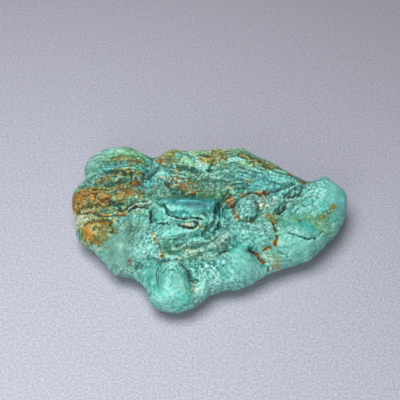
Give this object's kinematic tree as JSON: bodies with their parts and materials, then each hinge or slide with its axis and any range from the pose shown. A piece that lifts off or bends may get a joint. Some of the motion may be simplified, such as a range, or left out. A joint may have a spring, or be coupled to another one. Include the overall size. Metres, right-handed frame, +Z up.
{
  "type": "raw turquoise nugget",
  "caption": "Flat, lobed natural turquoise stone with a furrowed, rust-veined top and a worn resting face.",
  "frame": {"origin": "on the face the stone rests on, under the middle of its plan", "axes": "+X along the stone's length towards its smooth right-hand lobe, -Y towards its drooping front edge, +Z up"},
  "size_m": [0.0506, 0.0348, 0.0122],
  "materials": {
    "turquoise": "waxy to granular weathered turquoise with rusty limonite in its furrows"
  },
  "bodies": {
    "root": {"turquoise_nugget": "turquoise"}
  },
  "joints": []
}
